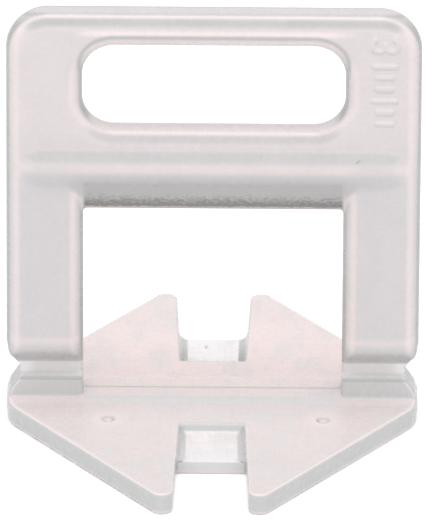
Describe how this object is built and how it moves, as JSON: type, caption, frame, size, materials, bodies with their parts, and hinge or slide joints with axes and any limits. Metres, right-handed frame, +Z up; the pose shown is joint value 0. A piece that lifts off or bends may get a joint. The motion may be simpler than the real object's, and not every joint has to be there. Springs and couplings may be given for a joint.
{
  "type": "tile levelling clip",
  "caption": "Translucent plastic tile levelling clip with a notched base plate, breakaway legs, a wedge window and a slotted finger grip.",
  "frame": {"origin": "middle of the base plate's underside, below the middle of the frame", "axes": "+Z up through the frame, X along the tile joint from leg to leg, Y across the joint, with the ejector marks on the -Y half"},
  "size_m": [0.033, 0.0376, 0.0354],
  "materials": {
    "natural_plastic": "uncoloured translucent polypropylene, satin as moulded"
  },
  "bodies": {
    "root": {"clip": "natural_plastic"}
  },
  "joints": []
}
